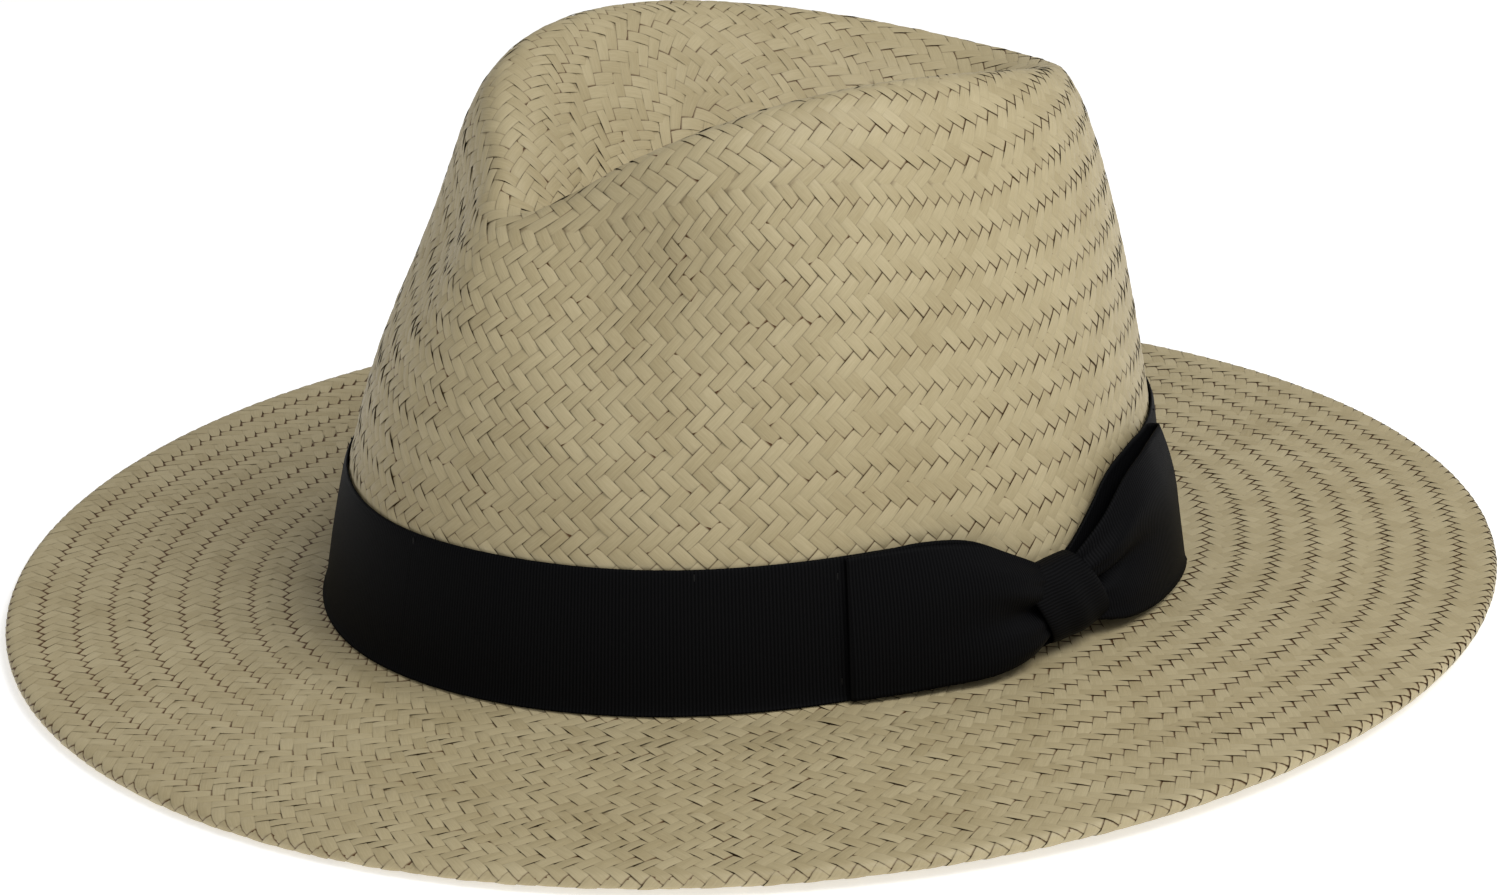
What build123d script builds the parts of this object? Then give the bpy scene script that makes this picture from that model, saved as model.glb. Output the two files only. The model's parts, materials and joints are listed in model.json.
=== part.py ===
"""A wide-brimmed straw panama hat with a grosgrain band and a side bow.

Millimetres, +Z up. The hat stands on its brim: the origin is the middle of its
footprint on the surface below it. The wearer faces -Y, so the wearer's left,
where the bow is, lies towards +X. Angles go round the crown's axis in degrees,
from 0 at the front (-Y) through 90 at the wearer's left (+X) to 180 at the back.
"""

import os
from math import atan2, cos, degrees, exp, hypot, pi, radians, sin, sqrt

from build123d import *

os.makedirs("parts", exist_ok=True)

# ---------------------------------------------------------------- driving sizes
MAT = 1.0                   # thickness of the woven straw
GAP = 0.35                  # ease between pieces that lie on each other

CROWN_Y = -2.3              # crown's axis, forward of the middle of the brim
BASE_A = 103.0              # crown's outer half length at the head line
BASE_B = 87.0               # crown's outer half width at the head line
CROWN_BASE = 8.0            # height where the wall runs into the brim's bend

RIDGE_A = 77.7              # ridge loop: half length
RIDGE_B = 46.9              # ridge loop: half width
RIDGE_BACK = 6.9            # ridge loop: shift to the back
RIDGE_Z = 123.7             # ridge loop: mean height
RIDGE_TILT = 11.8           # ridge loop: rise towards the front
RIDGE_SADDLE = 3.6          # ridge loop: rise at the sides
NOSE_DROP = 29.1            # how far the front of the ridge loop dips
NOSE_SPREAD = 46.3          # degrees each side over which it dips
NOSE_NARROWING = 0.34       # share of the ridge loop's width lost at the front
NARROWING_SPREAD = 35.5     # degrees each side over which it is lost
CROWN_LEAN = 2.8            # sideways lean of the crown at LEAN_HEIGHT
LEAN_HEIGHT = 110.0

WALL_START = (0.053, 0.266)  # side wall's curve: first control (inward, upward)
WALL_START_FRONT = 0.03     # more inward at the front, less at the back
WALL_SHOULDER = 0.60        # second control, inward share, at full height

PINCH_DEPTH = 8.5           # dents of the front pinch
PINCH_ANGLE = 33.1
PINCH_SPREAD = 18.9
PINCH_Z = 94.3
PINCH_HEIGHT = 23.4

DENT_FLOOR_Z = 96.0         # floor of the crease along the top
DENT_FLOOR_A = 46.0
DENT_FLOOR_B = 9.0
DENT_LEAD = (0.35, 0.70)    # dent's curve: inward shares of its two controls

EDGE_A = 178.3              # brim's half length
EDGE_B = 166.0              # brim's half width
BRIM_Z = 4.6                # top of the flat brim where it meets the crown
BEND = 5.0                  # size of the bend from wall to brim
SIDE_LIFT = 2.1             # how far the brim's sides stand off the surface
HEM_WIDTH = 9.5             # straw turned under along the brim's edge
HEM_GAP = 0.7               # room between the two layers of the hem
WIRE_WIDTH = 0.6            # flat wire that keeps the brim's edge in shape
WIRE_THICKNESS = 0.5

BAND_LOW = 5.7
BAND_HIGH = 36.8
BAND_GATHER = 13.8          # how far the band's upper edge is drawn down under the bow
GATHER_SPREAD = 19.8        # distance each side of the knot over which it is drawn down
KNOT_ANGLE = 95.5
RIBBON = 0.6                # thickness of the grosgrain ribbon

SWEAT_LOW = 4.4
SWEAT_HIGH = 34.0
SWEAT = 0.8                 # thickness of the sweatband

RING_POINTS = 36            # points of each ring round the crown
BRIM_STEP = 15              # degrees between the brim's cross sections

AXIS = Vector(0, CROWN_Y, 0)


# ---------------------------------------------------------------- shape of the hat
def bezier(s, start, first, second, end):
    """Value at s of a cubic curve with these four control values."""
    r = 1 - s
    return r**3 * start + 3 * r * r * s * first + 3 * r * s * s * second + s**3 * end


def turned(angle):
    """Angle folded into -180 to 180 degrees."""
    return (angle + 180) % 360 - 180


def outward(angle):
    """Level direction that points straight out of the crown's wall."""
    a = radians(angle)
    return Vector(sin(a) / BASE_B, -cos(a) / BASE_A, 0).normalized()


def crown_plan(angle, half_length, half_width, shift=0.0):
    """Point of an oval round the crown's axis, in plan."""
    a = radians(angle)
    return AXIS + Vector(half_width * sin(a), shift - half_length * cos(a), 0)


def front_narrowing(angle):
    return 1 - NOSE_NARROWING * exp(-((turned(angle) / NARROWING_SPREAD) ** 2))


def ridge_point(angle):
    """Top of the ridge that runs round the crease."""
    a = radians(angle)
    spot = crown_plan(angle, RIDGE_A, RIDGE_B * front_narrowing(angle), RIDGE_BACK)
    spot.Z = RIDGE_Z + RIDGE_TILT * cos(a) - RIDGE_SADDLE * cos(2 * a)
    spot.Z -= NOSE_DROP * exp(-((turned(angle) / NOSE_SPREAD) ** 2))
    return spot


def crown_point(angle, along):
    """Outer surface: along runs 0 to 1 up the wall and 1 to 2 down into the crease."""
    ridge = ridge_point(angle)
    if along <= 1:
        foot = crown_plan(angle, BASE_A, BASE_B)
        first = WALL_START[0] + WALL_START_FRONT * cos(radians(angle))
        inward = bezier(along, 0, first, WALL_SHOULDER, 1)
        spot = foot + (ridge - foot) * inward
        rise = bezier(along, 0, WALL_START[1], 1, 1)
        spot.Z = CROWN_BASE + (ridge.Z - CROWN_BASE) * rise
    else:
        down = along - 1
        floor = crown_plan(angle, DENT_FLOOR_A, DENT_FLOOR_B * front_narrowing(angle), RIDGE_BACK)
        spot = ridge + (floor - ridge) * bezier(down, 0, DENT_LEAD[0], DENT_LEAD[1], 1)
        spot.Z = ridge.Z + (DENT_FLOOR_Z - ridge.Z) * bezier(down, 0, 0, 1, 1)
    offset = (abs(turned(angle)) - PINCH_ANGLE) / PINCH_SPREAD
    level = (spot.Z - PINCH_Z) / PINCH_HEIGHT
    pinch = PINCH_DEPTH * exp(-(offset**2) - level**2) * max(0.0, min(1.0, 2 - along))
    spot = spot - outward(angle) * pinch
    return spot + Vector(CROWN_LEAN * (spot.Z - CROWN_BASE) / LEAN_HEIGHT, 0, 0)


def crown_normal(angle, along):
    """Direction out of the straw at a point of the crown's outer surface."""
    step = 0.01
    up = crown_point(angle, min(along + step, 2)) - crown_point(angle, max(along - step, 0))
    level = crown_point(angle + 1, along) - crown_point(angle - 1, along)
    return level.cross(up).normalized()


def ring_angles():
    return [360 * n / RING_POINTS for n in range(RING_POINTS)]


def crown_ring(along, depth):
    """Ring of points that lie depth below the crown's outer surface."""
    points = []
    for angle in ring_angles():
        spot = crown_point(angle, along) - crown_normal(angle, along) * depth
        if along == 0:
            spot.Z = CROWN_BASE
        if along == 2:
            spot.Z = DENT_FLOOR_Z - depth
        points.append(spot)
    return points


def wall_point(angle, height, stand_off):
    """Point beside the crown's wall, stand_off outside it, at this height."""
    low, high = 0.0, 1.0
    for _ in range(30):
        middle = (low + high) / 2
        if crown_point(angle, middle).Z < height:
            low = middle
        else:
            high = middle
    spot = crown_point(angle, low) + outward(angle) * stand_off
    spot.Z = height
    return spot


def wall_ring(height, stand_off):
    return [wall_point(angle, height, stand_off) for angle in ring_angles()]


def bend_reach(height):
    """How far the bend into the brim stands outside the wall at this height."""
    if height >= CROWN_BASE:
        return 0.0
    return BEND * (1 - sqrt((height - BRIM_Z) / (CROWN_BASE - BRIM_Z))) ** 2


def skin(rings, ruled=False):
    """Solid inside a skin drawn through closed rings, flat at both ends."""
    wires = [Wire([Edge.make_spline(ring, periodic=True)]) for ring in rings]
    return Solid.make_loft(wires, ruled)


# ---------------------------------------------------------------- crown
WALL_STEPS = [0, 0.05, 0.12, 0.25, 0.4, 0.55, 0.7, 0.85, 1]
DENT_STEPS = [1.15, 1.3, 1.5, 1.7, 1.85, 2]
crown_outside = skin([crown_ring(along, 0) for along in WALL_STEPS + DENT_STEPS])
crown_inside = skin([crown_ring(along, MAT) for along in WALL_STEPS + DENT_STEPS])

with BuildPart() as crown:
    add(crown_outside)
    add(crown_inside, mode=Mode.SUBTRACT)
crown.part.label = "crown"
export_step(crown.part, "parts/crown.step")


# ---------------------------------------------------------------- brim and its hem
def radial_plane(angle):
    """Upright plane from the crown's axis: local X runs outward, local Y up."""
    a = radians(angle)
    out = Vector(sin(a), -cos(a), 0)
    return Plane(origin=AXIS, x_dir=out, z_dir=out.cross(Vector(0, 0, 1)))


def head_reach(angle):
    """Distance from the crown's axis to the foot of its wall."""
    a = radians(angle)
    return 1 / hypot(sin(a) / BASE_B, cos(a) / BASE_A)


def edge_reach(angle):
    """Distance from the crown's axis to the brim's edge."""
    a = radians(angle)
    square = (sin(a) / EDGE_B) ** 2 + (cos(a) / EDGE_A) ** 2
    shift = CROWN_Y * cos(a) / EDGE_A**2
    return (shift + sqrt(shift**2 + square * (1 - (CROWN_Y / EDGE_A) ** 2))) / square


def edge_lift(angle):
    """Height of the hem's underside over the surface that the hat stands on."""
    return SIDE_LIFT * sin(radians(angle)) ** 2


HEM_HEIGHT = 2 * MAT + HEM_GAP
FOLD = HEM_HEIGHT / 2


def brim_section(angle):
    """The brim's cross section, from the head line to the fold of the hem."""
    wall = head_reach(angle)
    fold = edge_reach(angle) - FOLD
    edge_top = edge_lift(angle) + HEM_HEIGHT
    slope = (edge_top - BRIM_Z) / (fold - wall)
    flat = (wall + BEND, BRIM_Z + slope * BEND)
    under = (wall + BEND, flat[1] - MAT)
    with BuildSketch(radial_plane(angle)) as section:
        with BuildLine():
            Bezier((wall, CROWN_BASE), (wall, BRIM_Z), flat)
            Line(flat, (fold, edge_top))
            Line((fold, edge_top), (fold, edge_top - MAT))
            Line((fold, edge_top - MAT), under)
            Bezier(under, (wall - MAT, BRIM_Z - MAT), (wall - MAT, CROWN_BASE))
            Line((wall - MAT, CROWN_BASE), (wall, CROWN_BASE))
        make_face()
    return section.sketch


def hem_section(angle):
    """The turned-under layer and the round fold along the brim's edge."""
    fold = edge_reach(angle) - FOLD
    inner = edge_reach(angle) - HEM_WIDTH
    low = edge_lift(angle)
    middle = low + FOLD
    high = low + HEM_HEIGHT
    with BuildSketch(radial_plane(angle)) as section:
        with BuildLine():
            Line((inner, low), (fold, low))
            ThreePointArc((fold, low), (fold + FOLD, middle), (fold, high))
            Line((fold, high), (fold, high - MAT))
            ThreePointArc((fold, high - MAT), (fold + HEM_GAP / 2, middle), (fold, low + MAT))
            Line((fold, low + MAT), (inner, low + MAT))
            Line((inner, low + MAT), (inner, low))
        make_face()
    return section.sketch


HALF_ROUND = range(0, 181, BRIM_STEP)

with BuildPart() as brim:
    loft([brim_section(angle) for angle in HALF_ROUND])
    mirror(about=Plane.YZ)
brim.part.label = "brim"
export_step(brim.part, "parts/brim.step")

with BuildPart() as brim_hem:
    loft([hem_section(angle) for angle in HALF_ROUND])
    mirror(about=Plane.YZ)
brim_hem.part.label = "brim_hem"
export_step(brim_hem.part, "parts/brim_hem.step")

with BuildPart() as hem_wire:
    for angle in HALF_ROUND:
        with BuildSketch(radial_plane(angle)):
            with Locations((edge_reach(angle) - FOLD, edge_lift(angle) + FOLD)):
                Rectangle(WIRE_WIDTH, WIRE_THICKNESS, align=(Align.MAX, Align.CENTER))
    loft()
    mirror(about=Plane.YZ)
hem_wire.part.label = "hem_wire"
export_step(hem_wire.part, "parts/hem_wire.step")


# ---------------------------------------------------------------- threads
def thread(middle, direction, length, radius):
    """A short straight stitch."""
    along = Vector(*direction).normalized()
    start = Vector(*middle) - along * (length / 2)
    return Solid.make_cylinder(radius, length, Plane(origin=start, z_dir=along))


STITCH_RADIUS = 0.25
STITCH_LENGTH = 3.0
STITCH_CLEARANCE = 0.15

HEM_STITCHES = 96
with BuildPart() as hem_stitches:
    for n in range(HEM_STITCHES):
        angle = 360 * (n + 0.5) / HEM_STITCHES
        a = radians(angle)
        reach = edge_reach(angle) - HEM_WIDTH - STITCH_RADIUS - STITCH_CLEARANCE
        spot = AXIS + Vector(sin(a), -cos(a), 0) * reach
        spot.Z = edge_lift(angle) + MAT
        normal = Vector(sin(a) / EDGE_B**2, -cos(a) / EDGE_A**2, 0)
        add(thread(spot, normal.cross(Vector(0, 0, 1)), STITCH_LENGTH, STITCH_RADIUS))
hem_stitches.part.label = "hem_stitches"
export_step(hem_stitches.part, "parts/hem_stitches.step")

# ---------------------------------------------------------------- hat band
BAND_INNER = GAP
BAND_OUTER = GAP + RIBBON
BAND_LEVELS = [BAND_LOW, 6.4, 7.1, CROWN_BASE, 14, 20, 26, 32, BAND_HIGH]
GATHER_REACH = 45.0         # half width of the cut that shapes the gathered edge
GATHER_STEPS = 13
GATHER_DEPTH = 14.0
CUT_TOP = BAND_HIGH + 5.0
band_outside = skin([wall_ring(h, BAND_OUTER + bend_reach(h)) for h in BAND_LEVELS], ruled=True)
band_inside = skin([wall_ring(h, BAND_INNER + bend_reach(h)) for h in BAND_LEVELS], ruled=True)


def gathered_edge():
    """Upper edge of the band by the knot: distance along the band and height."""
    points = []
    for n in range(GATHER_STEPS):
        offset = GATHER_REACH * (2 * n / (GATHER_STEPS - 1) - 1)
        drop = (BAND_GATHER + GAP) * exp(-((offset / GATHER_SPREAD) ** 2))
        points.append((offset, BAND_HIGH + GAP - drop))
    return points


def knot_plane():
    """Upright plane against the wall under the knot, local Y up."""
    out = outward(KNOT_ANGLE)
    foot = wall_point(KNOT_ANGLE, BAND_HIGH, 0)
    foot.Z = 0
    return Plane(origin=foot, x_dir=Vector(0, 0, 1).cross(out), z_dir=out)


with BuildPart() as hat_band:
    add(band_outside)
    add(band_inside, mode=Mode.SUBTRACT)
    with BuildSketch(knot_plane()):
        with BuildLine():
            edge = Spline(gathered_edge())
            Polyline(edge @ 0, (-GATHER_REACH, CUT_TOP), (GATHER_REACH, CUT_TOP), edge @ 1)
        make_face()
    extrude(amount=GATHER_DEPTH, both=True, mode=Mode.SUBTRACT)
hat_band.part.label = "hat_band"
export_step(hat_band.part, "parts/hat_band.step")

# ---------------------------------------------------------------- bow
BOW_GAP = BAND_OUTER + 2 * GAP
# each row: angle from the knot, height of the ribbon, thickness, height of its middle
FRONT_STATIONS = [
    (4.2, 15.5, 5.5, 17.4),
    (8.0, 21.0, 8.5, 19.0),
    (13.0, 27.0, 8.5, 20.8),
    (20.0, 30.0, 6.0, 21.9),
    (30.5, 30.6, 1.6, 21.9),
]
REAR_STATIONS = [
    (4.2, 15.5, 5.5, 17.4),
    (8.0, 21.5, 8.5, 19.4),
    (13.0, 28.0, 9.0, 21.8),
    (20.0, 31.0, 9.0, 22.8),
    (29.0, 31.0, 6.5, 22.6),
]
KNOT_STATIONS = [(-4.0, 17.0, 9.0, 16.6), (0.0, 18.5, 11.0, 16.4), (4.0, 17.0, 9.0, 16.6)]


def bow_plane(angle, thickness, middle):
    """Plane across the ribbon: local X runs out of the band, local Y up its slope."""
    origin = wall_point(angle, middle, BOW_GAP + thickness / 2)
    up = (wall_point(angle, BAND_HIGH, 0) - wall_point(angle, CROWN_BASE, 0)).normalized()
    along = outward(angle).cross(up).normalized()
    return Plane(origin=origin, x_dir=up.cross(along), z_dir=along)


def bow_section(angle, height, thickness, middle):
    with BuildSketch(bow_plane(angle, thickness, middle)) as section:
        RectangleRounded(thickness, height, thickness * 0.45)
    return section.sketch


def bow_piece(side, stations):
    """Cross sections of a piece of the bow, side being the way its angles run."""
    return [bow_section(KNOT_ANGLE + side * offset, *size) for offset, *size in stations]


with BuildPart() as bow_front_loop:
    loft(bow_piece(-1, FRONT_STATIONS))
bow_front_loop.part.label = "bow_front_loop"
export_step(bow_front_loop.part, "parts/bow_front_loop.step")

with BuildPart() as bow_rear_loop:
    loft(bow_piece(1, REAR_STATIONS))
bow_rear_loop.part.label = "bow_rear_loop"
export_step(bow_rear_loop.part, "parts/bow_rear_loop.step")

with BuildPart() as bow_knot:
    loft(bow_piece(1, KNOT_STATIONS))
bow_knot.part.label = "bow_knot"
export_step(bow_knot.part, "parts/bow_knot.step")

# ---------------------------------------------------------------- tacks in the ribbon
TACK_LENGTH = 1.6
TACK_RADIUS = 0.2
BAND_TACK_ANGLES = [0, 45, 135, 180, 225, 270, 315]
BOW_TACK_OFFSETS = [-32.0, 32.0]


def band_tack(angle, height):
    """A short upright stitch on the face of the band."""
    spot = wall_point(angle, height, BAND_OUTER + TACK_RADIUS + STITCH_CLEARANCE)
    return thread(spot, (0, 0, 1), TACK_LENGTH, TACK_RADIUS)


with BuildPart() as band_tacks:
    for angle in BAND_TACK_ANGLES:
        add(band_tack(angle, BAND_HIGH - TACK_LENGTH))
band_tacks.part.label = "band_tacks"
export_step(band_tacks.part, "parts/band_tacks.step")

with BuildPart() as bow_tacks:
    for offset in BOW_TACK_OFFSETS:
        for height in (BAND_LOW + 4, BAND_HIGH - 4):
            add(band_tack(KNOT_ANGLE + offset, height))
bow_tacks.part.label = "bow_tacks"
export_step(bow_tacks.part, "parts/bow_tacks.step")

# ---------------------------------------------------------------- sweatband
SWEAT_OUTER = -(MAT + GAP)
SWEAT_INNER = SWEAT_OUTER - SWEAT
SWEAT_LEVELS = [SWEAT_LOW, CROWN_BASE, 14, 20, 27, SWEAT_HIGH]
sweat_outside = skin([wall_ring(h, SWEAT_OUTER) for h in SWEAT_LEVELS], ruled=True)
sweat_inside = skin([wall_ring(h, SWEAT_INNER) for h in SWEAT_LEVELS], ruled=True)

with BuildPart() as sweatband:
    add(sweat_outside)
    add(sweat_inside, mode=Mode.SUBTRACT)
sweatband.part.label = "sweatband"
export_step(sweatband.part, "parts/sweatband.step")

SWEAT_STITCHES = 110
SWEAT_STITCH_Z = 6.4
SWEAT_STITCH_OFFSET = SWEAT_INNER - STITCH_RADIUS - STITCH_CLEARANCE
with BuildPart() as sweatband_stitches:
    for n in range(SWEAT_STITCHES):
        angle = 360 * (n + 0.5) / SWEAT_STITCHES
        spot = wall_point(angle, SWEAT_STITCH_Z, SWEAT_STITCH_OFFSET)
        level = outward(angle).cross(Vector(0, 0, 1))
        add(thread(spot, level, STITCH_LENGTH, STITCH_RADIUS))
sweatband_stitches.part.label = "sweatband_stitches"
export_step(sweatband_stitches.part, "parts/sweatband_stitches.step")

SEAM_STITCHES = 6
SEAM_ANGLE = 168.0
SEAM_PITCH = 4.2
with BuildPart() as sweatband_seam:
    for n in range(SEAM_STITCHES):
        height = SWEAT_STITCH_Z + SEAM_PITCH * (n + 1)
        spot = wall_point(SEAM_ANGLE, height, SWEAT_STITCH_OFFSET)
        add(thread(spot, outward(SEAM_ANGLE).cross(Vector(0, 0, 1)), STITCH_LENGTH, STITCH_RADIUS))
sweatband_seam.part.label = "sweatband_seam"
export_step(sweatband_seam.part, "parts/sweatband_seam.step")

# ---------------------------------------------------------------- labels
LABEL = 0.3                 # thickness of the label tape
LABEL_TOP = SWEAT_HIGH + 0.4
LABEL_CLEARANCE = 0.5
LABELS = {"size_label": (180.0, 18.0, 20.0), "care_label": (148.0, 26.0, 27.0)}


def label_hinge(angle, width):
    """Middle of a label's folded top edge, clear of the sweatband's curved face."""
    half_turn = degrees(width / 2 / head_reach(angle))
    middle = wall_point(angle, SWEAT_HIGH, SWEAT_INNER)
    out = outward(angle)
    room = max((middle - wall_point(angle + s * half_turn, SWEAT_HIGH, SWEAT_INNER)).dot(out)
               for s in (-1, 1))
    spot = middle - out * (room + LABEL_CLEARANCE + LABEL / 2)
    spot.Z = LABEL_TOP
    return spot


def label_plane(angle, width, height):
    out = outward(angle)
    origin = label_hinge(angle, width) - Vector(0, 0, height / 2)
    return Plane(origin=origin, x_dir=Vector(0, 0, 1).cross(out), z_dir=out)


with BuildPart() as size_label:
    angle, width, height = LABELS["size_label"]
    with BuildSketch(label_plane(angle, width, height)):
        Rectangle(width, height)
    extrude(amount=LABEL / 2, both=True)
size_label.part.label = "size_label"
export_step(size_label.part, "parts/size_label.step")

with BuildPart() as care_label:
    angle, width, height = LABELS["care_label"]
    with BuildSketch(label_plane(angle, width, height)):
        Rectangle(width, height)
    extrude(amount=LABEL / 2, both=True)
care_label.part.label = "care_label"
export_step(care_label.part, "parts/care_label.step")

# ---------------------------------------------------------------- figures to check by
for name, (angle, width, height) in LABELS.items():
    hinge = label_hinge(angle, width)
    axis = Vector(0, 0, 1).cross(outward(angle))
    print(name, "hinge", [round(v, 3) for v in hinge], "axis", [round(v, 5) for v in axis])
head = pi * (BASE_A + BASE_B - 2 * (MAT + GAP + SWEAT))
print("head size about", round(head), "mm")
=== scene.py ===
"""Looks of the woven straw hat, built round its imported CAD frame.

Shapes are worked out in millimetres, in the frame of the CAD model: +Z up, the
wearer faces -Y and the bow is on the wearer's left, +X. Angles go round the crown
in degrees, from 0 at the front through 90 at the wearer's left. to_mesh() turns
millimetres into metres.
"""
import json
from math import cos, radians, sin

import bpy
import numpy as np
from mathutils import Matrix, Vector


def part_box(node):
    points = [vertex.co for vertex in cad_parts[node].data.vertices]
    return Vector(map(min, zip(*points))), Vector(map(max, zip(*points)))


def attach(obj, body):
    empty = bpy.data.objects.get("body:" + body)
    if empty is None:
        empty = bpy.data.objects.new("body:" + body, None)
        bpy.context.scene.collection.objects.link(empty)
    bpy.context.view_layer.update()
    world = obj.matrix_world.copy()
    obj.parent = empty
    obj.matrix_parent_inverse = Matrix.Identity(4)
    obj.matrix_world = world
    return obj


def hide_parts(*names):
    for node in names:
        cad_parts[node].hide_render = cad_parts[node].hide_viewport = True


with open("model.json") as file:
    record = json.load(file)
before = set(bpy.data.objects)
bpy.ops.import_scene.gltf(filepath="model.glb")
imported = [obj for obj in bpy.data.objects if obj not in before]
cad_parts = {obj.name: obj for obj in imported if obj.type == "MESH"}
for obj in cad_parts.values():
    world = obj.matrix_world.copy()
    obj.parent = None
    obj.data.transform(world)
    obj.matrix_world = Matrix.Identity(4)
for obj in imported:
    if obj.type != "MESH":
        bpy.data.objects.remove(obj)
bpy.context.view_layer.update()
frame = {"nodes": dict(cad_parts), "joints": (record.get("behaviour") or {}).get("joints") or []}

MM = 0.001
BODY = "hat"

# ---------------------------------------------------------------- sizes, as in the CAD model (mm, degrees)
MAT = 1.0
CROWN_Y = -2.3
BASE_A, BASE_B = 103.0, 87.0
CROWN_BASE = 8.0
RIDGE_A, RIDGE_B, RIDGE_BACK = 77.7, 46.9, 6.9
RIDGE_Z, RIDGE_TILT, RIDGE_SADDLE = 123.7, 11.8, 3.6
NOSE_DROP, NOSE_SPREAD = 29.1, 46.3
NOSE_NARROWING, NARROWING_SPREAD = 0.34, 35.5
CROWN_LEAN, LEAN_HEIGHT = 2.8, 110.0
WALL_START, WALL_START_FRONT, WALL_SHOULDER = (0.053, 0.266), 0.03, 0.60
PINCH_DEPTH, PINCH_ANGLE, PINCH_SPREAD = 8.5, 33.1, 18.9
PINCH_Z, PINCH_HEIGHT = 94.3, 23.4
DENT_FLOOR_Z, DENT_FLOOR_A, DENT_FLOOR_B = 96.0, 46.0, 9.0
DENT_LEAD = (0.35, 0.70)
EDGE_A, EDGE_B = 178.3, 166.0
BRIM_Z, BEND, SIDE_LIFT = 4.6, 5.0, 2.1
HEM_WIDTH, HEM_GAP = 9.5, 0.7
BAND_LOW, BAND_HIGH = 5.7, 36.8
BAND_GATHER, GATHER_SPREAD = 13.8, 11.0     # how far the knot draws the band down, and over how far
SWEAT_LOW, SWEAT_HIGH = 4.4, 34.0
KNOT_ANGLE = 95.5

HEM_HEIGHT = 2 * MAT + HEM_GAP
FOLD = HEM_HEIGHT / 2
FULL_TURN = 360.0
DEGREES = np.arange(FULL_TURN)


# ---------------------------------------------------------------- small helpers
def bezier(s, start, first, second, end):
    r = 1 - s
    return r**3 * start + 3 * r * r * s * first + 3 * r * s * s * second + s**3 * end


def smooth_step(s):
    s = np.clip(s, 0.0, 1.0)
    return s * s * (3 - 2 * s)


def unit(vectors):
    return vectors / np.maximum(np.linalg.norm(vectors, axis=-1, keepdims=True), 1e-9)


def hash01(*keys):
    """Repeatable value from 0 to 1 for each set of whole-number keys."""
    total = np.zeros(np.broadcast(*keys).shape)
    for n, key in enumerate(keys):
        total = total + np.asarray(key, float) * (12.9898 + 65.233 * n)
    return np.modf(np.abs(np.sin(total) * 43758.5453))[0]


def to_mesh(name, points, faces, material, strand=None):
    """New object from points in millimetres and rows of four vertex numbers."""
    mesh = bpy.data.meshes.new(name)
    points = np.asarray(points, float).reshape(-1, 3) * MM
    mesh.vertices.add(len(points))
    mesh.vertices.foreach_set("co", points.astype(np.float32).ravel())
    mesh.loops.add(faces.size)
    mesh.loops.foreach_set("vertex_index", faces.astype(np.int32).ravel())
    mesh.polygons.add(len(faces))
    mesh.polygons.foreach_set("loop_start", np.arange(0, faces.size, 4, dtype=np.int32))
    mesh.polygons.foreach_set("use_smooth", np.full(len(faces), True))
    if strand is not None:
        attribute = mesh.attributes.new("strand", "FLOAT_VECTOR", "POINT")
        attribute.data.foreach_set("vector", np.asarray(strand, np.float32).ravel())
    mesh.update(calc_edges=True)
    mesh.validate()
    obj = bpy.data.objects.new(name, mesh)
    bpy.context.scene.collection.objects.link(obj)
    obj.data.materials.append(material)
    return obj


def grid_faces(rows, columns, close_rows=False, close_columns=False):
    """Quads of a grid of points, numbered row by row."""
    r = np.arange(rows if close_rows else rows - 1)
    c = np.arange(columns if close_columns else columns - 1)
    r, c = np.meshgrid(r, c, indexing="ij")
    r2, c2 = (r + 1) % rows, (c + 1) % columns
    quads = np.stack([r * columns + c, r * columns + c2, r2 * columns + c2, r2 * columns + c], -1)
    return quads.reshape(-1, 4)


def closed_ring(name, loop, material, strand=None):
    """Mesh of a grid of points that closes round the hat and round its own section."""
    rows, columns = loop.shape[:2]
    faces = grid_faces(rows, columns, close_rows=True, close_columns=True)
    return to_mesh(name, loop, faces, material, strand=strand)


def place(obj, slot, *nodes, body=BODY):
    """Rides obj on its body and hides the CAD nodes it stands for; slot is not used."""
    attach(obj, body)
    if nodes:
        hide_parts(*nodes)
    return obj


# ---------------------------------------------------------------- shape of the hat
def folded(angle):
    """The same angle between -180 and 180."""
    return (angle + 180) % 360 - 180


def outward(angle):
    """Level direction straight out of the crown's wall."""
    a = np.radians(angle)
    return unit(np.stack([np.sin(a) / BASE_B, -np.cos(a) / BASE_A, 0 * a], -1))


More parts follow.
